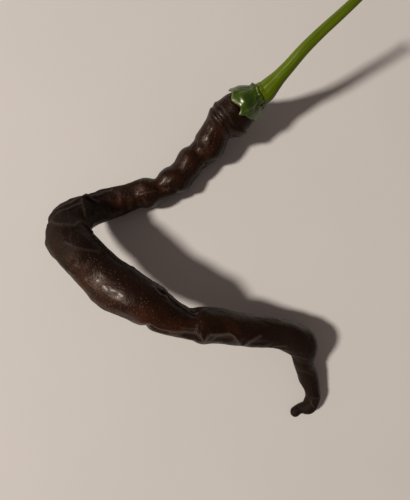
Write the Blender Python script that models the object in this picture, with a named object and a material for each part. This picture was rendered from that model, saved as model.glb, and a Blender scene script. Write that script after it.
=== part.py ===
"""A long dark chilli pepper as picked: a wrinkled pod bent in a V, its calyx and its stem.

It lies on the plane z = 0 on three small flats under the pod: the crooked tip, the upper arm by the
elbow, and the neck. The elbow and the belly arch over the surface. The origin is under the middle.
"""

import math

import bmesh
import bpy
from mathutils import Matrix, Vector, noise

MM = 0.001
GAP = 0.3  # mm between the calyx and what it holds

# Each station is the centre's x, y and height, then the radius, all in mm.
TIP = (
    (37.5, -75.4, 1.7, 0.9),
    (38.6, -74.7, 1.8, 1.8),
    (40.9, -73.1, 1.9, 1.9),
    (44.4, -72.0, 2.5, 2.8),
    (46.1, -68.2, 2.9, 3.1),
    (45.3, -63.8, 3.5, 3.5),
    (43.8, -58.7, 4.4, 3.9),
    (41.7, -54.1, 6.3, 3.7),
    (40.9, -50.6, 7.9, 4.2),
)
LOWER_ARM = (
    (40.3, -46.5, 9.6, 5.5),
    (38.3, -42.7, 10.9, 6.3),
    (34.6, -40.4, 11.8, 6.3),
    (29.1, -38.8, 13.0, 6.0),
    (22.2, -38.1, 14.8, 6.0),
    (13.9, -36.5, 17.6, 6.1),
    (6.2, -34.9, 19.7, 6.3),
    (-0.5, -34.0, 21.8, 6.5),
    (-4.6, -33.2, 23.2, 5.4),
)
BELLY = (
    (-8.0, -31.8, 24.3, 6.1),
    (-13.2, -28.6, 25.6, 7.2),
    (-19.9, -24.4, 26.0, 7.9),
    (-26.7, -20.8, 25.6, 8.6),
    (-32.4, -16.8, 24.8, 8.4),
    (-37.3, -12.2, 24.2, 8.2),
)
ELBOW = (
    (-41.7, -7.6, 24.0, 7.9),
    (-44.9, -3.8, 23.0, 7.5),
    (-46.3, 0.7, 20.2, 7.2),
    (-44.8, 4.8, 16.2, 6.8),
    (-41.9, 7.7, 11.2, 6.4),
)
UPPER_ARM = (
    (-37.2, 10.1, 6.9, 6.3),
    (-31.3, 12.3, 5.6, 6.0),
    (-25.3, 14.3, 5.4, 5.4),
    (-19.8, 15.4, 5.6, 6.0),
    (-16.2, 16.5, 5.3, 4.7),
)
NECK = (
    (-10.3, 20.2, 5.3, 6.1),
    (-6.2, 23.8, 5.2, 5.5),
    (-3.3, 27.6, 5.3, 5.9),
    (-0.5, 29.9, 5.3, 5.3),
    (3.5, 33.8, 6.9, 6.4),
    (6.9, 39.2, 9.8, 5.7),
    (10.6, 42.6, 12.2, 7.4),
    (12.7, 44.4, 13.5, 6.5),
)
SHOULDER = (
    (14.8, 45.7, 14.2, 5.8),
    (16.4, 46.5, 14.8, 5.4),
    (18.3, 47.4, 15.4, 4.4),
    (19.5, 48.1, 15.7, 2.7),
    (19.9, 48.3, 15.8, 1.2),
)
POD_SIDES = 24
POD_STEPS = 2  # rings from one station to the next
LUMP_HEIGHT = 0.35  # mm that the skin rises and falls
LUMP_SIZE = 7.0  # mm across one lump

CALYX_MOUTH = Vector((14.6, 45.6, 14.2))  # the centre of the rim
CALYX_TOP = Vector((22.4, 49.6, 16.2))  # where the stem leaves it
RIM_RADIUS = 7.4
CALYX_WALL = 0.8
TEETH = 6
TOOTH_HEIGHT = 0.7
CALYX_STEPS = 36

STEM_FOOT = 4.0  # radius where the stem meets the calyx
STEM_SIDES = 16
STEM_STEPS = 3
STEM_ROUTE = (
    (24.4, 50.6, 16.7, 3.9),
    (26.1, 51.9, 18.2, 3.4),
    (28.4, 53.8, 20.3, 2.7),
    (31.4, 56.2, 23.7, 2.25),
    (35.2, 59.7, 27.2, 2.0),
    (40.5, 64.3, 29.7, 1.8),
    (45.6, 68.3, 31.8, 1.65),
    (49.9, 71.8, 33.4, 1.55),
    (53.3, 74.8, 34.3, 1.5),
)


def clear_scene():
    for item in list(bpy.data.objects):
        bpy.data.objects.remove(item, do_unlink=True)


def new_collection(name):
    collection = bpy.data.collections.new(name)
    bpy.context.scene.collection.children.link(collection)
    return collection


def new_material(name, colour, roughness):
    material = bpy.data.materials.new(name)
    material.use_nodes = True
    shader = material.node_tree.nodes["Principled BSDF"]
    shader.inputs["Base Color"].default_value = (*colour, 1.0)
    shader.inputs["Roughness"].default_value = roughness
    shader.inputs["Metallic"].default_value = 0.0
    return material


def tube_curve(name, stations, sides, steps):
    """A smooth curve through the stations, as a closed tube with their radii."""
    curve = bpy.data.curves.new(name, "CURVE")
    curve.dimensions = "3D"
    curve.resolution_u = steps
    curve.bevel_depth = MM
    curve.bevel_resolution = sides // 2 - 2
    curve.use_fill_caps = True
    spline = curve.splines.new("BEZIER")
    spline.radius_interpolation = "CARDINAL"
    spline.bezier_points.add(len(stations) - 1)
    for point, (x, y, height, radius) in zip(spline.bezier_points, stations):
        point.co = Vector((x, y, height)) * MM
        point.handle_left_type = "AUTO"
        point.handle_right_type = "AUTO"
        point.radius = radius
    return curve


def mesh_from_curve(name, curve, collection):
    """The tube as a mesh object whose end caps are joined to its side."""
    guide = bpy.data.objects.new(name + "_curve", curve)
    collection.objects.link(guide)
    graph = bpy.context.evaluated_depsgraph_get()
    mesh = bpy.data.meshes.new_from_object(guide.evaluated_get(graph))
    bpy.data.objects.remove(guide, do_unlink=True)
    mesh.name = name
    tube = bmesh.new()
    tube.from_mesh(mesh)
    bmesh.ops.remove_doubles(tube, verts=tube.verts, dist=0.00001)
    bmesh.ops.recalc_face_normals(tube, faces=tube.faces)
    tube.to_mesh(mesh)
    tube.free()
    mesh.shade_smooth()
    item = bpy.data.objects.new(name, mesh)
    collection.objects.link(item)
    return item


def raise_lumps(item, height, size):
    """Gentle lumps all over, along the normals."""
    item.data.update()
    moves = [
        vertex.normal * noise.noise(vertex.co / (size * MM)) * height * MM
        for vertex in item.data.vertices
    ]
    for vertex, move in zip(item.data.vertices, moves):
        vertex.co += move


def flatten_underside(item):
    """Cut away what would be under the surface, which leaves the flats that the pod rests on."""
    body = bmesh.new()
    body.from_mesh(item.data)
    everything = body.verts[:] + body.edges[:] + body.faces[:]
    bmesh.ops.bisect_plane(
        body,
        geom=everything,
        dist=0.000001,
        plane_co=(0.0, 0.0, 0.0),
        plane_no=(0.0, 0.0, 1.0),
        clear_inner=True,
    )
    rim = [edge for edge in body.edges if edge.is_boundary]
    bmesh.ops.holes_fill(body, edges=rim, sides=0)
    bmesh.ops.recalc_face_normals(body, faces=body.faces)
    body.to_mesh(item.data)
    body.free()


def make_pod(collection, material):
    stations = TIP + LOWER_ARM + BELLY + ELBOW + UPPER_ARM + NECK + SHOULDER
    pod = mesh_from_curve("pod", tube_curve("pod", stations, POD_SIDES, POD_STEPS), collection)
    raise_lumps(pod, LUMP_HEIGHT, LUMP_SIZE)
    flatten_underside(pod)
    pod.data.materials.append(material)
    pod.data.set_sharp_from_angle(angle=math.radians(50))
    return pod


def calyx_profile(depth):
    """Radius and height, down the outside from the top's centre, round the rim and up the inside."""
    outside = ((0.0, 0.0), (3.9, 0.0), (5.1, -0.16), (6.3, -0.42), (7.1, -0.75), (RIM_RADIUS, -1.0))
    inside_radius = RIM_RADIUS - CALYX_WALL
    inside = ((inside_radius, -1.0), (inside_radius - 0.2, -0.75), (5.4, -0.5), (3.4, -0.27), (0.0, -0.24))
    return [(radius, share * depth) for radius, share in outside + inside]


def make_calyx(collection, material):
    """A turned cup whose rim is drawn out in short teeth, set on the pod's shoulder."""
    axis = CALYX_TOP - CALYX_MOUTH
    mesh = bpy.data.meshes.new("calyx")
    cup = bmesh.new()
    corners = [cup.verts.new((radius, 0.0, height)) for radius, height in calyx_profile(axis.length)]
    edges = [cup.edges.new(pair) for pair in zip(corners, corners[1:])]
    bmesh.ops.spin(
        cup,
        geom=corners + edges,
        cent=(0.0, 0.0, 0.0),
        axis=(0.0, 0.0, 1.0),
        angle=2.0 * math.pi,
        steps=CALYX_STEPS,
    )
    bmesh.ops.remove_doubles(cup, verts=cup.verts, dist=0.001)
    bmesh.ops.recalc_face_normals(cup, faces=cup.faces)
    for vertex in cup.verts:
        nearness = max(0.0, -vertex.co.z / axis.length - 0.7) / 0.3
        angle = math.atan2(vertex.co.y, vertex.co.x)
        vertex.co.z -= TOOTH_HEIGHT * nearness * math.cos(TEETH * angle)
    place = Matrix.Translation(CALYX_TOP * MM) @ axis.to_track_quat("Z", "Y").to_matrix().to_4x4()
    cup.transform(place @ Matrix.Scale(MM, 4))
    cup.to_mesh(mesh)
    cup.free()
    mesh.shade_smooth()
    mesh.set_sharp_from_angle(angle=math.radians(50))
    mesh.materials.append(material)
    calyx = bpy.data.objects.new("calyx", mesh)
    collection.objects.link(calyx)
    return calyx


def make_stem(collection, material):
    """The stem leaves the calyx along its axis, so that the two faces are parallel."""
    foot = CALYX_TOP + (CALYX_TOP - CALYX_MOUTH).normalized() * GAP
    stations = ((*foot, STEM_FOOT),) + STEM_ROUTE
    stem = mesh_from_curve("stem", tube_curve("stem", stations, STEM_SIDES, STEM_STEPS), collection)
    stem.data.set_sharp_from_angle(angle=math.radians(50))
    stem.data.materials.append(material)
    return stem


def main():
    clear_scene()
    chilli = new_collection("chilli_pepper")
    make_pod(chilli, new_material("pod", (0.020, 0.009, 0.004), 0.35))
    make_calyx(chilli, new_material("calyx", (0.018, 0.040, 0.003), 0.40))
    make_stem(chilli, new_material("stem", (0.110, 0.160, 0.012), 0.45))


main()
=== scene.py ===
"""A long dark chilli pepper as picked: a wrinkled pod bent in a V, its green calyx and its stem.

It lies on a pale floor under one soft lamp from the left, seen from straight above. The pod's skin is a
tube on the CAD pod's own route, sculpted in code by folds, creases, lumps and hollows. Each of those is
given by its distance along the pod from the tip, in mm, and its turn round the pod from the top, in
degrees, towards the inside of the V.
"""

import math
import random

import bpy
import numpy as np
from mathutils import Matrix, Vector, noise


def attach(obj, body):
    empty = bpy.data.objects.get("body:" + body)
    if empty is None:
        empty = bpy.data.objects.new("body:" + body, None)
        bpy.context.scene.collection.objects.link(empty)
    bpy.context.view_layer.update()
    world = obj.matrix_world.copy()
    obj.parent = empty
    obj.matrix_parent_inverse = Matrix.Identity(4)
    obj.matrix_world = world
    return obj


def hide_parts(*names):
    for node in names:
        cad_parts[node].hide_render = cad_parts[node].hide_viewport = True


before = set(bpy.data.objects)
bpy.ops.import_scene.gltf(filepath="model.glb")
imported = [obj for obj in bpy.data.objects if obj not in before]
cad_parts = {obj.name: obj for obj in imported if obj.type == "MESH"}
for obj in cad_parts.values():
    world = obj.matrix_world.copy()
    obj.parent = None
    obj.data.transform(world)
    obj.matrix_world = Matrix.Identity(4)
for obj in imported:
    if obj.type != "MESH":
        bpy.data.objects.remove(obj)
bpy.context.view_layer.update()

MM = 0.001

# The pod's route, the CAD's but for a slimmer end of the neck. Each station is the centre's x, y and
# height, then the radius, all in mm.
TIP = (
    (37.5, -75.4, 1.7, 0.9),
    (38.6, -74.7, 1.8, 1.8),
    (40.9, -73.1, 1.9, 1.9),
    (44.4, -72.0, 2.5, 2.8),
    (46.1, -68.2, 2.9, 3.1),
    (45.3, -63.8, 3.5, 3.5),
    (43.8, -58.7, 4.4, 3.9),
    (41.7, -54.1, 6.3, 3.7),
    (40.9, -50.6, 7.9, 4.2),
)
LOWER_ARM = (
    (40.3, -46.5, 9.6, 5.5),
    (38.3, -42.7, 10.9, 6.3),
    (34.6, -40.4, 11.8, 6.3),
    (29.1, -38.8, 13.0, 6.0),
    (22.2, -38.1, 14.8, 6.0),
    (13.9, -36.5, 17.6, 6.1),
    (6.2, -34.9, 19.7, 6.3),
    (-0.5, -34.0, 21.8, 6.5),
    (-4.6, -33.2, 23.2, 5.4),
)
BELLY = (
    (-8.0, -31.8, 24.3, 6.1),
    (-13.2, -28.6, 25.6, 7.2),
    (-19.9, -24.4, 26.0, 7.9),
    (-26.7, -20.8, 25.6, 8.6),
    (-32.4, -16.8, 24.8, 8.4),
    (-37.3, -12.2, 24.2, 8.2),
)
ELBOW = (
    (-41.7, -7.6, 24.0, 7.9),
    (-44.9, -3.8, 23.0, 7.5),
    (-46.3, 0.7, 20.2, 7.2),
    (-44.8, 4.8, 16.2, 6.8),
    (-41.9, 7.7, 11.2, 6.4),
)
UPPER_ARM = (
    (-37.2, 10.1, 6.9, 6.3),
    (-31.3, 12.3, 5.6, 6.0),
    (-25.3, 14.3, 5.4, 5.4),
    (-19.8, 15.4, 5.6, 6.0),
    (-16.2, 16.5, 5.3, 4.7),
)
NECK = (
    (-10.3, 20.2, 5.3, 6.1),
    (-6.2, 23.8, 5.2, 5.5),
    (-3.3, 27.6, 5.3, 5.9),
    (-0.5, 29.9, 5.3, 5.3),
    (3.5, 33.8, 6.9, 6.4),
    (6.9, 39.2, 9.8, 5.7),
    (10.6, 42.6, 12.2, 7.4),
    (12.7, 44.4, 13.5, 6.3),
)
SHOULDER = (
    (14.8, 45.7, 14.2, 5.8),
    (16.4, 46.5, 14.8, 5.4),
    (18.3, 47.4, 15.4, 4.4),
    (19.5, 48.1, 15.7, 2.7),
    (19.9, 48.3, 15.8, 1.2),
)
POD_COLUMNS = 140
POD_ROWS = 700
UNDER_CALYX = 227.0  # mm from the tip, where the folds and lumps have faded out
TOP_FADE = 2.0  # mm over which they fade there
TIP_FADE = 3.0  # mm from the tip over which they grow to their full rise
LEAST_AT_TIP = 0.1  # the share of their rise at the tip's end
TIP_END = 0.9  # mm over which the tip's end is rounded
TOP_END = 1.2  # mm over which the end under the calyx is rounded

# The skin's own unevenness. Rises, sizes and lengths are in mm.
LUMP_RISE = 0.35
LUMP_SIZE = 7.0
PUCKER_RISE = 0.10
PUCKER_SIZE = 2.6
RIDGE_RISE = 0.10
RIDGE_LENGTH = 9.0
RIDGE_WANDER = 60.0
RIDGES_ROUND = 2.6  # the larger, the more of them there are round the pod

CALYX_MOUTH = Vector((14.6, 45.6, 14.2))
CALYX_TOP = Vector((22.4, 49.6, 16.2))
RIM_RADIUS = 7.4
STEM_FOOT = 4.0
GAP = 0.3
STEM_ROUTE = (
    (24.4, 50.6, 16.7, 3.9),
    (26.1, 51.9, 18.2, 3.4),
    (28.4, 53.8, 20.3, 2.7),
    (31.4, 56.2, 23.7, 2.25),
    (35.2, 59.7, 27.2, 2.0),
    (40.5, 64.3, 29.7, 1.8),
    (45.6, 68.3, 31.8, 1.65),
    (49.9, 71.8, 33.4, 1.55),
    (53.3, 74.8, 34.3, 1.5),
)

# Each fold is its rise in mm (negative for a crease or hollow), its half width in mm, how pale it is
# from 0 to 1, and the places that it runs through. Its paleness is partly worn skin and partly painted
# sheen.
ELBOW_FOLDS = (
    (0.55, 0.6, 0.60, ((153, -26), (151, -20), (149, 7), (147, 33), (143, 74), (139, 94), (135, 106))),
    (0.40, 0.7, 0.60, ((152, -26), (149, -21), (147, -25), (145, -32), (143, -55))),
    (0.30, 0.6, 0.50, ((149, 3), (147, -5), (145, -4), (143, -16))),
    (0.40, 0.6, 0.50, ((141, -40), (141, -24), (139, 2), (138, 24), (137, 43), (140, 58), (141, 74))),
    (0.25, 0.6, 0.40, ((134, 4), (131, 15), (129, 26), (127, 36), (125, 46))),
    (0.45, 0.7, 0.55, ((153, -36), (154, -9), (156, 4))),
    (0.40, 0.8, 0.50, ((153, -30), (155, -23), (159, -27), (162, -36), (167, -42))),
    (-0.40, 0.9, 0.0, ((152, -16), (152, 0), (152, 14), (150, 40))),
    (-0.50, 2.4, 0.0, ((144, 12), (143, 36))),
    (-0.40, 2.4, 0.0, ((135, 20), (134, 52))),
    (-0.45, 1.6, 0.0, ((149, -12), (147, -14))),
    (-0.30, 2.0, 0.0, ((142, -34), (139, -20))),
    (0.85, 1.8, 0.0, ((136, -88), (138, -70))),
    (0.50, 2.6, 0.0, ((146, -80), (147, -70))),
    (-0.60, 1.0, 0.15, ((142, -48), (141, -66), (142, -84))),
    (-0.70, 2.6, 0.0, ((154, -84), (158, -80))),
    (0.30, 1.5, 0.0, ((134, -32),)),
    (-1.30, 6.5, 0.0, ((118, -6), (116, 0))),
    (1.10, 6.5, 0.0, ((104, -6), (102, 0))),
    (0.70, 6.0, 0.0, ((138, -24), (136, -4))),
    (-0.50, 3.5, 0.0, ((134, 96), (120, 90), (104, 92), (94, 90))),
    (0.25, 0.5, 0.30, ((130, -10), (128, -2), (127, -8))),
    (-0.25, 1.2, 0.0, ((128, -14),)),
    (0.25, 1.0, 0.0, ((129, -46), (127, -38))),
    (0.22, 0.9, 0.0, ((121, -28), (119, -34))),
    (0.45, 3.0, 0.0, ((117, -74), (113, -72))),
)
BELLY_FOLDS = (
    (0.40, 0.6, 0.60, ((103, 54), (100, 47), (98, 53), (98, 66))),
    (0.55, 0.7, 0.65, ((99, 72), (96, 62), (92, 61), (88, 59), (84, 56))),
    (-0.60, 1.0, 0.0, ((101, 60), (99, 62))),
    (-0.50, 0.8, 0.0, ((97, 78), (91, 74), (86, 70))),
    (-1.30, 1.6, 0.0, ((85, 54), (84, 76), (83, 104))),
    (0.35, 0.7, 0.45, ((82, 60), (79, 76), (76, 84))),
    (0.45, 0.6, 0.60, ((100, -40), (98, -27), (96, -33), (94, -33), (91, -24), (88, -14), (84, -12))),
    (0.40, 0.6, 0.65, ((84, -12), (82, -24), (81, -38), (82, -52))),
    (0.30, 0.5, 0.45, ((89, -5), (84, -2), (82, -16))),
    (0.20, 0.5, 0.35, ((84, 7), (84, -2))),
    (-0.60, 1.2, 0.0, ((87, -34), (84, -32))),
    (-0.60, 2.0, 0.0, ((84, -88), (83, -66))),
    (-0.50, 1.3, 0.0, ((96, -48), (92, -42))),
    (-1.20, 1.5, 0.0, ((99, -92), (98, -72), (97, -44))),
)
LONG_RIDGE = ((81, -44), (80, -24), (79, -14), (75, -13), (72, -7), (70, -11), (68, -27), (67, -40))
LOWER_ARM_FOLDS = (
    (0.45, 0.6, 0.80, LONG_RIDGE),
    (-0.50, 1.3, 0.0, ((76, -34), (72, -28))),
    (0.40, 0.6, 0.60, ((65, -50), (64, -26), (62, -10), (60, 0))),
    (-0.40, 1.2, 0.0, ((62, -36), (58, -30))),
    (0.30, 0.6, 0.45, ((54, -56), (53, -46), (50, -36), (48, -30))),
    (0.25, 0.5, 0.35, ((51, -62), (48, -54))),
    (0.25, 0.6, 0.40, ((56, 98), (54, 82), (51, 72))),
    (0.25, 0.6, 0.40, ((54, 110), (52, 90), (49, 78))),
    (-1.20, 3.6, 0.0, ((52, 100), (48, 88), (44, 84))),
)
TAIL_FOLDS = (
    (0.25, 0.6, 0.25, ((42, -64), (39, -46), (37, -26), (36, -8))),
    (0.25, 0.6, 0.20, ((32, -70), (29, -40), (29, -7), (26, 16))),
    (-0.30, 0.9, 0.0, ((35, -70), (33, -36), (32, -4))),
    (-1.20, 1.6, 0.0, ((17, -100), (14, -84), (12, -60))),
    (0.25, 0.5, 0.30, ((13, -40), (11, -20), (10, 6))),
    (0.20, 0.5, 0.20, ((15, -34), (14, -10), (14, 20))),
    (-0.20, 0.5, 0.0, ((4, -60), (5, 0), (5, 60))),
)
UPPER_ARM_FOLDS = (
    (0.35, 0.7, 0.30, ((178, 12), (180, 9), (183, 12))),
    (-0.45, 1.0, 0.0, ((178, 34), (178, 52))),
    (0.50, 2.2, 0.0, ((171, -34), (176, -44))),
    (-0.35, 1.4, 0.0, ((166, -40), (168, -10), (167, 16))),
    (0.30, 1.0, 0.0, ((174, 26), (172, 60))),
    (-0.30, 1.0, 0.0, ((171, 20), (170, 70))),
)
NECK_FOLDS = (
    (-0.55, 1.3, 0.0, ((182, -60), (182, -26), (182, -8), (186, 14), (189, 30), (190, 73), (189, 110))),
    (-0.45, 1.5, 0.0, ((194, -80), (194, -47), (195, -5), (196, 35), (197, 77), (197, 110))),
    (-0.40, 1.5, 0.0, ((209, -84), (209, -42), (209, 1), (207, 40), (204, 68), (203, 104))),
    (-0.70, 0.8, 0.0, ((223, -84), (223, -43), (223, -12), (223, 18), (222, 51), (221, 90))),
    (0.60, 2.0, 0.0, ((188, -62), (189, -34))),
    (0.50, 2.4, 0.0, ((202, -60), (202, -20))),
    (0.45, 2.4, 0.0, ((215, -56), (215, -10))),
    (0.55, 2.4, 0.0, ((210, 78), (210, 56))),
    (0.45, 1.8, 0.0, ((193, 88), (192, 60))),
    (0.30, 0.6, 0.25, ((204, 52), (206, 76))),
    (0.30, 0.5, 0.40, ((220, 66), (221, 84))),
    (0.25, 0.5, 0.30, ((224, 60), (225, 84))),
    (0.22, 0.45, 0.35, ((225, -70), (226, -20), (226, 10), (225, 40))),
    (0.18, 0.4, 0.30, ((227, -60), (228, -24), (227, 8))),
    (0.18, 0.4, 0.30, ((221, -50), (220, -16), (219, 6))),
)
ALL_FOLDS = (
    ELBOW_FOLDS + BELLY_FOLDS + LOWER_ARM_FOLDS + TAIL_FOLDS + UPPER_ARM_FOLDS + NECK_FOLDS
)

# The shoulder swells out past the calyx on one side: its rise, half width and places.
SHOULDER_BULGE = (2.0, 3.2, ((225, 100), (232, 100)))
# All round, the skin fills the calyx's mouth.
MOUTH_RISE = 0.4
MOUTH_BEYOND = 1.5  # mm past UNDER_CALYX
MOUTH_HALF_WIDTH = 2.0

# Each stretch of warm brown skin is its strength, its half width in mm, and the places that it runs
# through. The first runs along the belly's lamp-lit lower side, where the brown is partly the skin's own
# and partly painted light.
BROWN_STRETCHES = (
    (1.0, 6.5, ((134, -30), (124, -34), (112, -34), (100, -24), (90, -14))),
    (0.4, 5.0, ((88, 10), (70, 14))),
    (0.8, 4.0, ((184, 20), (172, 6), (164, 8))),
    (0.5, 5.0, ((192, 10), (216, 14))),
)
VEINED_STRETCHES = ((1.0, 6.5, ((156, 14), (150, 30), (143, 30), (136, 50))),)
# Rougher, darker matte skin. On the right-hand bend and the tail the darker colour is painted shade.
DULL_AND_SHADED_STRETCHES = (
    (1.0, 4.2, ((152, -50), (160, -46), (172, -60))),
    (1.0, 7.0, ((152, -20), (144, -20), (134, -16))),
    (0.8, 5.0, ((50, -10), (40, -10), (32, -30), (20, -20))),
    (1.0, 3.0, ((12, -30), (0, 0))),
)


class Route:
    """A smooth line through stations, with a radius, an up and a side direction at each place."""

    def __init__(self, stations, spacing=0.2):
        stations = np.array(stations)
        chords = np.linalg.norm(np.diff(stations[:, :3], axis=0), axis=1)
        slopes = np.diff(stations, axis=0) / chords[:, None]
        middle = (slopes[1:] * chords[:-1, None] + slopes[:-1] * chords[1:, None]) / (
            chords[1:] + chords[:-1]
        )[:, None]
        slopes = np.vstack((slopes[:1], middle, slopes[-1:]))
        pieces = []
        for i, chord in enumerate(chords):
            share = np.linspace(0.0, 1.0, int(chord / spacing) + 8, endpoint=False)[:, None]
            pieces.append(
                (2 * share**3 - 3 * share**2 + 1) * stations[i]
                + (share**3 - 2 * share**2 + share) * chord * slopes[i]
                + (3 * share**2 - 2 * share**3) * stations[i + 1]
                + (share**3 - share**2) * chord * slopes[i + 1]
            )
        line = np.vstack(pieces + [stations[-1:]])
        steps = np.linalg.norm(np.diff(line[:, :3], axis=0), axis=1)
        self.distance = np.concatenate(((0.0,), np.cumsum(steps)))
        self.length = self.distance[-1]
        self.line = line
        ahead = np.gradient(line[:, :3], axis=0)
        ahead /= np.linalg.norm(ahead, axis=1)[:, None]
        up = np.array((0.0, 0.0, 1.0)) - ahead[:, 2:3] * ahead
        self.up = up / np.linalg.norm(up, axis=1)[:, None]
        self.side = np.cross(ahead, self.up)

    def read(self, values, distance):
        return np.stack([np.interp(distance, self.distance, column) for column in values.T], axis=1)

    def skin(self, distance, angle):
        """The places on the plain tube and the directions out of it, at angles in radians."""
        station = self.read(self.line, distance)
        across = np.cos(angle)[:, None] * self.read(self.up, distance)
        outward = across + np.sin(angle)[:, None] * self.read(self.side, distance)
        return station[:, :3] + outward * station[:, 3:4], outward


MM_TO_A_DEGREE = 0.11  # round a pod about 6 mm in radius


def filled_in(points, step=0.3):
    """The same run of places with many more between them, as distances and angles."""
    points = np.array(points, dtype=float)
    if len(points) == 1:
        return points[:, 0], np.radians(points[:, 1])
    spans = np.hypot(np.diff(points[:, 0]), np.diff(points[:, 1]) * MM_TO_A_DEGREE)
    where = np.concatenate(((0.0,), np.cumsum(spans)))
    wanted = np.linspace(0.0, where[-1], max(2, int(where[-1] / step)))
    return np.interp(wanted, where, points[:, 0]), np.radians(np.interp(wanted, where, points[:, 1]))


def nearness(route, places, distance, width, points):
    """1 on the run of places, falling off smoothly to 0 some widths away."""
    run_distance, run_angle = filled_in(points)
    run = route.skin(run_distance, run_angle)[0]
    reach = 8.0 * width + 2.0
    near = (distance > run_distance.min() - reach) & (distance < run_distance.max() + reach)
    chosen = np.flatnonzero(near)
    apart = np.full(len(chosen), 1e9)
    for place in run:
        apart = np.minimum(apart, ((places[chosen] - place) ** 2).sum(axis=1))
    result = np.zeros(len(places))
    result[chosen] = np.exp(-apart / width**2)
    return result


def noise_at(points):
    return np.array([noise.noise(point) for point in points.tolist()])


def ridges_at(points):
    """Thin raised lines between broad hollows, from 0 to 1."""
    return 1.0 - np.abs(noise_at(points)) * 2.0


# The small folds on the side that faces the floor: where they start, in mm from the tip, and the
# ranges of their turn, length, slant, bend, rise and half width.
HIDDEN_STARTS = range(8, 222, 5)
HIDDEN_SEED = 5
HIDDEN_TURN = (110.0, 250.0)
HIDDEN_LENGTH = (2.0, 6.0)
HIDDEN_SLANT = (-40.0, 40.0)
HIDDEN_BEND = (-14.0, 14.0)
HIDDEN_RISE = (0.15, 0.4)
HIDDEN_HALF_WIDTH = (0.5, 0.9)
HIDDEN_PALENESS = 0.4


def hidden_folds():
    """Small wandering folds on the side that faces the floor, so that no side is smooth."""
    chance = random.Random(HIDDEN_SEED)
    folds = []
    for start in HIDDEN_STARTS:
        angle = chance.uniform(*HIDDEN_TURN)
        reach = chance.uniform(*HIDDEN_LENGTH)
        turn = chance.uniform(*HIDDEN_SLANT)
        middle = (start + reach * 0.5, angle + turn * 0.5 + chance.uniform(*HIDDEN_BEND))
        points = ((start, angle), middle, (start + reach, angle + turn))
        rise = chance.uniform(*HIDDEN_RISE)
        folds.append((rise, chance.uniform(*HIDDEN_HALF_WIDTH), HIDDEN_PALENESS, points))
    return tuple(folds)


WELD = 0.002  # mm within which vertices are joined


def closed_grid(name, columns, rows, shape):
    """A grid rolled into a closed skin. shape gives each vertex's place in mm and its painted values."""
    bpy.ops.object.select_all(action="DESELECT")
    bpy.ops.mesh.primitive_grid_add(x_subdivisions=columns, y_subdivisions=rows, size=1.0)
    piece = bpy.context.object
    piece.name = name
    mesh = piece.data
    mesh.name = name
    flat = np.empty(len(mesh.vertices) * 3)
    mesh.vertices.foreach_get("co", flat)
    flat = flat.reshape(-1, 3)
    places, paints = shape(flat[:, 0] + 0.5, flat[:, 1] + 0.5)
    mesh.vertices.foreach_set("co", (places * MM).ravel())
    for paint, values in paints.items():
        layer = mesh.attributes.new(paint, "FLOAT", "POINT")
        layer.data.foreach_set("value", values.astype(np.float32))
    bpy.ops.object.mode_set(mode="EDIT")
    bpy.ops.mesh.select_all(action="SELECT")
    bpy.ops.mesh.remove_doubles(threshold=WELD * MM)
    bpy.ops.mesh.normals_make_consistent(inside=False)
    bpy.ops.object.mode_set(mode="OBJECT")
    bpy.ops.object.shade_smooth()
    return piece


def rounded_ends(distance, length, first, last):
    """The share of the radius that is left near two round ends of these radii."""
    from_first = np.clip(1.0 - distance / first, 0.0, 1.0)
    from_last = np.clip(1.0 - (length - distance) / last, 0.0, 1.0)
    return np.sqrt(1.0 - from_first**2) * np.sqrt(1.0 - from_last**2)


def painted(route, places, distance, stretches):
    amount = np.zeros(len(places))
    for strength, width, points in stretches:
        amount = np.maximum(amount, strength * nearness(route, places, distance, width, points))
    return amount


def shape_pod(across, along):
    route = Route(TIP + LOWER_ARM + BELLY + ELBOW + UPPER_ARM + NECK + SHOULDER)
    distance = along * route.length
    angle = (across - 0.5) * 2.0 * math.pi
    plain, outward = route.skin(distance, angle)
    centre = route.read(route.line, distance)[:, :3]
    lift = np.zeros(len(plain))
    pale = np.zeros(len(plain))
    for rise, width, paleness, points in ALL_FOLDS + hidden_folds():
        lift += rise * nearness(route, plain, distance, width, points)
        if paleness:
            line = nearness(route, plain, distance, width * 0.5, points)
            pale = np.maximum(pale, paleness * line)
    turned = outward * RIDGES_ROUND
    turned[:, 0] += distance / RIDGE_LENGTH
    lengthwise = ridges_at(turned + centre / RIDGE_WANDER) - 0.5
    lift += LUMP_RISE * noise_at(plain / LUMP_SIZE)
    lift += RIDGE_RISE * lengthwise + PUCKER_RISE * noise_at(plain / PUCKER_SIZE)
    at_top = np.clip((UNDER_CALYX - distance) / TOP_FADE, 0.0, 1.0)
    free = at_top * np.clip(distance / TIP_FADE, LEAST_AT_TIP, 1.0)
    full = rounded_ends(distance, route.length, TIP_END, TOP_END)[:, None]
    at_mouth = np.exp(-(((distance - UNDER_CALYX - MOUTH_BEYOND) / MOUTH_HALF_WIDTH) ** 2))
    lift = lift * free + MOUTH_RISE * at_mouth
    lift += SHOULDER_BULGE[0] * nearness(route, plain, distance, *SHOULDER_BULGE[1:])
    places = centre + (plain - centre) * full + outward * lift[:, None] * full
    places[:, 2] = np.maximum(places[:, 2], 0.0)
    paints = {
        "pale": pale,
        "brown": painted(route, plain, distance, BROWN_STRETCHES),
        "veined": painted(route, plain, distance, VEINED_STRETCHES),
        "dull_and_shaded": painted(route, plain, distance, DULL_AND_SHADED_STRETCHES),
    }
    return places, paints


# The calyx's teeth: the turn round it from the top, how far each reaches down, and its half width.
CALYX_TEETH = (
    (-78.0, 0.9, 12.0),
    (-12.0, 1.6, 19.0),
    (35.0, 1.7, 8.0),
    (98.0, 0.5, 14.0),
    (152.0, 1.8, 14.0),
    (212.0, 1.7, 13.0),
)
TOOTH_RIB = 0.22  # mm that a rib stands out down the middle of each tooth
RIM_PULL = 0.8  # mm that the rim is drawn back all round
# The cup is shorter on one side: by how much at the rim, then the turn and its half width.
SHORT_SIDE = (3.4, 104.0, 36.0)
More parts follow.
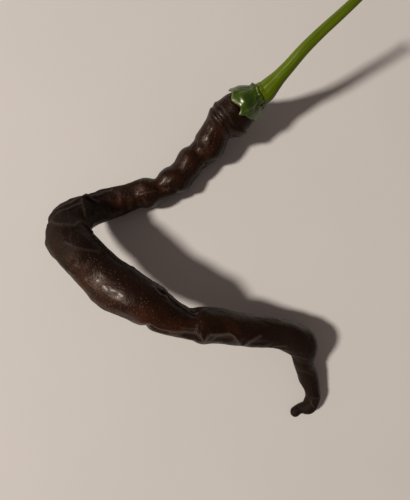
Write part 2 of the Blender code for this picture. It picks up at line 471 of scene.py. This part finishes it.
# It swells on top: its rise, the turn and its half width, then how far down and its half width.
TOP_SWELL = (0.90, 14.0, 27.0, 5.8, 1.8)
COLLAR_LUMPS = 0.80  # mm, round the top
CUP_LUMPS = 0.20  # mm, all over the outside
CALYX_COLUMNS = 240
CALYX_ROWS = 90


def smooth_profile(points, share):
    """Radius and height at shares of the way along a smooth line through the points."""
    route = Route([(radius, 0.0, height, 0.0) for radius, height in points], 0.05)
    line = route.read(route.line, share * route.length)
    return line[:, 0], line[:, 2]


def shape_calyx(across, along):
    """A cup over the pod's shoulder: down its outside from the top, round the rim and up the inside."""
    axis = CALYX_TOP - CALYX_MOUTH
    depth = axis.length
    lip = ((0.01, 0.2), (3.75, 0.2), (4.15, 0.45), (4.5, 0.0))
    outside = ((4.7, -1.2), (5.5, -2.9), (6.5, -4.9), (6.95, -6.8))
    rim = ((RIM_RADIUS - 0.35, -depth), (RIM_RADIUS - 0.5, -depth - 0.2), (RIM_RADIUS - 0.7, -depth))
    inside = ((6.5, -8.0), (6.0, -6.4), (5.0, -4.2), (3.8, -2.6), (0.01, -2.3))
    radius, height = smooth_profile(lip + outside + rim + inside, along)
    turn = (across - 0.5) * 360.0
    low = np.clip((-height / depth - 0.45) / 0.55, 0.0, 1.2)
    rib = np.zeros(len(turn))
    for place, reach, width in CALYX_TEETH:
        apart = (turn - place + 180.0) % 360.0 - 180.0
        height = height - reach * np.exp(-((apart / width) ** 2)) * low**2
        rib = np.maximum(rib, np.exp(-((apart / (width * 0.45)) ** 2)))
    on_outside = np.clip((0.62 - along) / 0.04, 0.0, 1.0)
    share = np.clip(-height / depth, 0.0, 1.0)
    pull, place, width = SHORT_SIDE
    height += RIM_PULL * low**2 + pull * share * np.exp(-(((turn - place) / width) ** 2))
    rise, place, width, down, down_width = TOP_SWELL
    swell = np.exp(-(((turn - place) / width) ** 2)) * np.exp(-(((height + down) / down_width) ** 2))
    shoulder = np.clip(-height / 1.5, 0.0, 1.0)
    radius = radius + (TOOTH_RIB * rib * shoulder + rise * swell) * on_outside
    angle = np.radians(turn)
    ahead = np.array(axis.normalized())
    up = np.array((0.0, 0.0, 1.0)) - ahead[2] * ahead
    up /= np.linalg.norm(up)
    side = np.cross(ahead, up)
    outward = np.cos(angle)[:, None] * up + np.sin(angle)[:, None] * side
    places = np.array(CALYX_TOP) + outward * radius[:, None] + ahead * height[:, None]
    collar = np.exp(-(((radius - 4.6) / 0.7) ** 2)) * on_outside
    lumps = COLLAR_LUMPS * collar * noise_at(places / 1.1)
    lumps = lumps + CUP_LUMPS * on_outside * noise_at(places / 2.4)
    places += outward * (lumps * np.clip(radius - 3.0, 0.0, 1.0))[:, None]
    edge = np.exp(-(((height + depth) / 0.7) ** 2)) * np.clip(low - 0.8, 0.0, 0.2) / 0.2
    return places, {"edge": edge, "rib": rib * on_outside}


STEM_COLUMNS = 96
STEM_ROWS = 420
STEM_EDGES = 5  # soft edges round it
STEM_TWIST = 0.02  # radians to the mm
STEM_EDGE_START = 0.6  # radians
EDGE_RISE = 0.032  # of the radius
EDGE_SHARPNESS = 0.010  # of the radius
FIBRE_RISE = 0.03  # mm
FOOT_LUMPS = 0.25  # mm, dying away from the calyx
END_FACE = 0.02  # mm over which each end closes
CUT_DEPTH = 0.1  # mm of the far end that shows the dry cut


def shape_stem(across, along):
    """The stem, with five soft edges that turn a little along it."""
    foot = CALYX_TOP + (CALYX_TOP - CALYX_MOUTH).normalized() * GAP
    route = Route(((*foot, STEM_FOOT),) + STEM_ROUTE)
    distance = along * route.length
    angle = (across - 0.5) * 2.0 * math.pi
    plain, outward = route.skin(distance, angle)
    centre = route.read(route.line, distance)[:, :3]
    radius = route.read(route.line, distance)[:, 3]
    turned = STEM_EDGES * angle + distance * STEM_TWIST + STEM_EDGE_START
    edges = EDGE_RISE * np.cos(turned) + EDGE_SHARPNESS * np.cos(2.0 * turned)
    stretched = outward * 3.0
    stretched[:, 0] += distance / 12.0
    fibres = FIBRE_RISE * ridges_at(stretched)
    foot_lumps = FOOT_LUMPS * noise_at(plain / 1.3) * np.exp(-distance / 2.0)
    lift = edges * radius + fibres + foot_lumps
    left = route.length - distance
    flat_ends = np.clip(distance / END_FACE, 0.0, 1.0) * np.clip(left / END_FACE, 0.0, 1.0)
    reach = (radius + lift) * flat_ends
    return centre + outward * reach[:, None], {"cut": np.clip(1.0 - left / CUT_DEPTH, 0.0, 1.0)}


class Value:
    """A number in a shader, with Python's arithmetic."""

    def __init__(self, finish, socket):
        self.finish = finish
        self.socket = socket

    def maths(self, operation, *numbers):
        values = dict(enumerate(numbers))
        node = self.finish.node("ShaderNodeMath", {"operation": operation}, values)
        return Value(self.finish, node.outputs[0])

    def __add__(self, other):
        return self.maths("ADD", self, other)

    def __sub__(self, other):
        return self.maths("SUBTRACT", self, other)

    def __rsub__(self, other):
        return self.maths("SUBTRACT", other, self)

    def __mul__(self, other):
        return self.maths("MULTIPLY", self, other)

    def limited(self):
        return self.maths("MINIMUM", self.maths("MAXIMUM", self, 0.0), 1.0)

    __radd__ = __add__
    __rmul__ = __mul__


class Finish:
    """A material, its nodes and the shader that they feed."""

    def __init__(self, name):
        self.material = bpy.data.materials.new(name)
        self.material.use_nodes = True
        self.nodes = self.material.node_tree.nodes
        self.links = self.material.node_tree.links
        self.shader = self.nodes["Principled BSDF"]
        self.place = self.node("ShaderNodeTexCoord").outputs["Object"]

    def node(self, kind, settings=None, values=None):
        """A node of this kind: its settings come first, then what its sockets hold or are fed."""
        made = self.nodes.new(kind)
        for name, setting in (settings or {}).items():
            setattr(made, name, setting)
        self.feed(made, values or {})
        return made

    def feed(self, node, values):
        for name, value in values.items():
            source = value.socket if isinstance(value, Value) else value
            if isinstance(source, bpy.types.NodeSocket):
                self.links.new(source, node.inputs[name])
            else:
                node.inputs[name].default_value = source

    def attribute(self, name):
        node = self.node("ShaderNodeAttribute", {"attribute_name": name})
        return Value(self, node.outputs["Fac"])

    def grain(self, size, detail=2.0, roughness=0.5, stretch=None):
        """Noise from 0 to 1: lumps this many mm across or, with stretch, that many round and along."""
        place = self.place
        if stretch:
            uv = self.node("ShaderNodeTexCoord").outputs["UV"]
            place = self.node("ShaderNodeMapping", None, {"Vector": uv, "Scale": stretch}).outputs[0]
        scale = 1.0 if stretch else 1.0 / (size * MM)
        values = {"Vector": place, "Scale": scale, "Detail": detail, "Roughness": roughness}
        return Value(self, self.node("ShaderNodeTexNoise", None, values).outputs[0])

    def cells(self, size, feature):
        """How far a cell's middle or edge is, as a share of the cells' size, which is in mm."""
        values = {"Vector": self.place, "Scale": 1.0 / (size * MM), "Randomness": 1.0}
        node = self.node("ShaderNodeTexVoronoi", {"feature": feature}, values)
        return Value(self, node.outputs["Distance"])

    def between(self, value, low, high):
        """0 where the value is under low, 1 where it is over high, and smooth between them."""
        settings = {"interpolation_type": "SMOOTHSTEP"}
        values = {"Value": value, "From Min": low, "From Max": high}
        return Value(self, self.node("ShaderNodeMapRange", settings, values).outputs[0])

    def mixed(self, share, first, second):
        """A colour between two, each a colour or a link to one."""
        values = {0: share, 6: self.colour(first), 7: self.colour(second)}
        return self.node("ShaderNodeMix", {"data_type": "RGBA"}, values).outputs[2]

    def colour(self, given):
        return (*given, 1.0) if isinstance(given, tuple) else given

    def bumps(self, height, depth):
        """Normals for a height from 0 to 1 that stands for this many mm."""
        values = {"Height": height, "Distance": depth * MM, "Strength": 1.0}
        return self.node("ShaderNodeBump", None, values).outputs[0]

    def done(self, constants, varying):
        self.feed(self.shader, constants)
        self.feed(self.shader, varying)
        return self.material


POD_DARK = (0.0118, 0.0042, 0.0021)
# Warm brown: the skin's own tone, laid strongest on the belly's lamp-lit side, where it is partly
# painted light.
POD_BROWN = (0.0370, 0.0102, 0.0032)
# Darker matte colour; on the right-hand bend and the tail it is painted shade.
POD_DULL_SHADE = (0.0075, 0.0044, 0.0028)
# Pale colour of the raised specks, partly their own and partly painted glints.
POD_SPECK_AND_GLINT = (0.150, 0.095, 0.060)
# Pale fold lines: partly worn skin, partly painted sheen on the ridges.
POD_WORN_SHEEN = (0.110, 0.080, 0.066)
CALYX_DARK = (0.0230, 0.0480, 0.0010)
CALYX_PALE = (0.0480, 0.0920, 0.0022)
CALYX_STREAK = (0.120, 0.150, 0.035)
CALYX_DRY = (0.180, 0.180, 0.080)
STEM_DARK = (0.066, 0.100, 0.0008)
STEM_PALE = (0.100, 0.142, 0.0014)
STEM_HAIR = (0.160, 0.190, 0.010)
STEM_CUT = (0.330, 0.320, 0.150)
PAPER_DARK = (0.700, 0.655, 0.605)
PAPER_PALE = (0.715, 0.668, 0.618)


def pod_finish():
    """Dark waxy skin with warm brown stretches, pale fold lines, darker matte stretches and fine raised
    specks. The brown on the belly's lamp-lit side is partly painted light, the fold lines' paleness
    partly painted sheen, the specks' pale colour partly painted glints, and the darker matte colour on
    the tail and right-hand bend painted shade.
    """
    skin = Finish("pod_skin")
    pale = skin.attribute("pale")
    brown = skin.attribute("brown")
    dull_and_shaded = skin.attribute("dull_and_shaded")
    mottle = skin.grain(5.0, 3.0)
    fine = skin.grain(0.7, 3.0, 0.6)
    specks = 1.0 - skin.between(skin.cells(0.90, "F1"), 0.0, 0.36)
    veins = 1.0 - skin.between(skin.cells(3.4, "DISTANCE_TO_EDGE"), 0.0, 0.09)
    veins = (veins * skin.attribute("veined")).limited()
    warm = (brown * skin.between(mottle, 0.25, 0.7)).limited()
    # Brown where the stretches lie; on the belly's lamp-lit side it is partly painted light.
    colour = skin.mixed(warm, POD_DARK, POD_BROWN)
    # Darker where matte; on the right-hand bend and the tail this is painted shade.
    colour = skin.mixed(dull_and_shaded * 0.7, colour, POD_DULL_SHADE)
    worn_and_sheen = (pale * (0.55 + fine * 0.7) + veins * 0.12).limited()
    # Pale specks on the brown stretches, partly their own colour and partly painted glints.
    colour = skin.mixed(specks * brown * 0.25, colour, POD_SPECK_AND_GLINT)
    # Pale fold lines and veins, partly worn skin and partly painted sheen.
    colour = skin.mixed(worn_and_sheen, colour, POD_WORN_SHEEN)
    height = specks * 1.2 + fine * 0.8 + veins * 0.4 + skin.grain(2.2, 2.0) * 1.2
    roughness = 0.39 - specks * 0.20 + dull_and_shaded * 0.34 + pale * 0.1 + (mottle - 0.5) * 0.2
    constants = {
        "IOR": 1.19,
        "Specular IOR Level": 1.0,
        "Specular Tint": (1.0, 0.80, 0.66, 1.0),
        "Coat IOR": 1.4,
        "Coat Roughness": 0.14,
    }
    varying = {
        "Base Color": colour,
        "Roughness": roughness,
        "Coat Weight": (0.05 + specks * 0.35 - dull_and_shaded * 0.4).limited(),
        "Normal": skin.bumps(height, 0.12),
    }
    return skin.done(constants, varying)


def calyx_finish():
    """Glossy dark green with paler ribs and a pale dry edge on the teeth."""
    green = Finish("calyx_green")
    edge = green.attribute("edge")
    rib = green.attribute("rib")
    blotches = green.grain(2.4, 3.0)
    streaks = green.grain(1.0, 3.0, 0.6, stretch=(46.0, 5.0, 1.0))
    share = (green.between(blotches, 0.35, 0.75) * 0.6 + rib * 0.35).limited()
    colour = green.mixed(share, CALYX_DARK, CALYX_PALE)
    colour = green.mixed(green.between(streaks, 0.62, 0.74) * 0.35, colour, CALYX_STREAK)
    colour = green.mixed(edge * 0.6, colour, CALYX_DRY)
    height = streaks * 1.3 + green.grain(0.6, 2.0) * 0.2
    varying = {
        "Base Color": colour,
        "Roughness": 0.26 + edge * 0.3 + (blotches - 0.5) * 0.2,
        "Normal": green.bumps(height, 0.16),
    }
    gloss = {"Specular IOR Level": 0.50, "Specular Tint": (0.95, 1.0, 0.60, 1.0)}
    return green.done({**gloss, "Coat Weight": 0.35, "Coat Roughness": 0.28}, varying)


def stem_finish():
    """Yellow green with long darker streaks, and a dry paler face where it was cut."""
    green = Finish("stem_green")
    streaks = green.grain(1.0, 3.0, 0.55, stretch=(15.0, 2.2, 1.0))
    hairs = green.grain(1.0, 3.0, 0.6, stretch=(70.0, 5.0, 1.0))
    colour = green.mixed(green.between(streaks, 0.35, 0.65), STEM_DARK, STEM_PALE)
    colour = green.mixed(green.between(hairs, 0.55, 0.75) * 0.2, colour, STEM_HAIR)
    colour = green.mixed(green.attribute("cut"), colour, STEM_CUT)
    varying = {
        "Base Color": colour,
        "Roughness": 0.42 + (streaks - 0.5) * 0.2,
        "Normal": green.bumps(hairs * 0.7 + streaks * 0.8, 0.12),
    }
    return green.done({"Specular IOR Level": 0.26, "Specular Tint": (0.95, 1.0, 0.55, 1.0)}, varying)


def floor_finish():
    paper = Finish("floor_paper")
    shade = paper.between(paper.grain(60.0, 2.0), 0.3, 0.7)
    colour = paper.mixed(shade, PAPER_DARK, PAPER_PALE)
    fibres = paper.grain(0.9, 3.0, 0.6)
    varying = {"Base Color": colour, "Normal": paper.bumps(fibres, 0.02)}
    return paper.done({"Roughness": 0.75, "Specular IOR Level": 0.3}, varying)


def finish_piece(piece, node, material):
    piece.data.materials.append(material)
    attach(piece, "root")
    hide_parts(node)


FLOOR_SIZE = 3.0  # metres
FLOOR_DROP = 0.02  # mm below the pod's flats, so that the two faces don't fight


def add_floor():
    bpy.ops.object.select_all(action="DESELECT")
    bpy.ops.mesh.primitive_plane_add(size=FLOOR_SIZE, location=(0.0, 0.0, -FLOOR_DROP * MM))
    floor = bpy.context.object
    floor.name = "floor"
    floor.data.materials.append(floor_finish())


CAMERA_PLACE = (2.2 * MM, -7.7 * MM, 145.8 * MM)
LAMP_WAY = Vector((0.93, 0.035, -1.0)).normalized()  # the way that its light goes
LAMP_DISTANCE = 2.0  # metres
LAMP_WIDTH = 0.26  # metres
LAMP_POWER = 36.5  # watts
LAMP_COLOUR = (1.0, 0.955, 0.905)
ROOM_COLOUR = (1.0, 0.83, 0.80)
ROOM_STRENGTH = 0.13
LENS = 25.2
SENSOR_WIDTH = 36.0


def add_camera():
    bpy.ops.object.camera_add(location=CAMERA_PLACE, rotation=(0.0, 0.0, 0.0))
    camera = bpy.context.object
    camera.data.lens = LENS
    camera.data.sensor_width = SENSOR_WIDTH
    camera.data.clip_start = 0.005
    bpy.context.scene.camera = camera


def add_light():
    """One lamp on the left, about 47 degrees up, and a dim even room."""
    bpy.ops.object.light_add(type="AREA", location=-LAMP_WAY * LAMP_DISTANCE)
    lamp = bpy.context.object
    lamp.name = "lamp"
    lamp.rotation_euler = LAMP_WAY.to_track_quat("-Z", "Y").to_euler()
    lamp.data.shape = "DISK"
    lamp.data.size = LAMP_WIDTH
    lamp.data.energy = LAMP_POWER
    lamp.data.color = LAMP_COLOUR
    world = bpy.data.worlds.new("room")
    world.use_nodes = True
    room = world.node_tree.nodes["Background"]
    room.inputs["Color"].default_value = (*ROOM_COLOUR, 1.0)
    room.inputs["Strength"].default_value = ROOM_STRENGTH
    bpy.context.scene.world = world
    bpy.context.scene.view_settings.view_transform = "Standard"


def main():
    pod = closed_grid("pod_skin", POD_COLUMNS, POD_ROWS, shape_pod)
    finish_piece(pod, "pod", pod_finish())
    calyx = closed_grid("calyx_cup", CALYX_COLUMNS, CALYX_ROWS, shape_calyx)
    finish_piece(calyx, "calyx", calyx_finish())
    stem = closed_grid("stem_shoot", STEM_COLUMNS, STEM_ROWS, shape_stem)
    finish_piece(stem, "stem", stem_finish())
    add_floor()
    add_camera()
    add_light()


main()
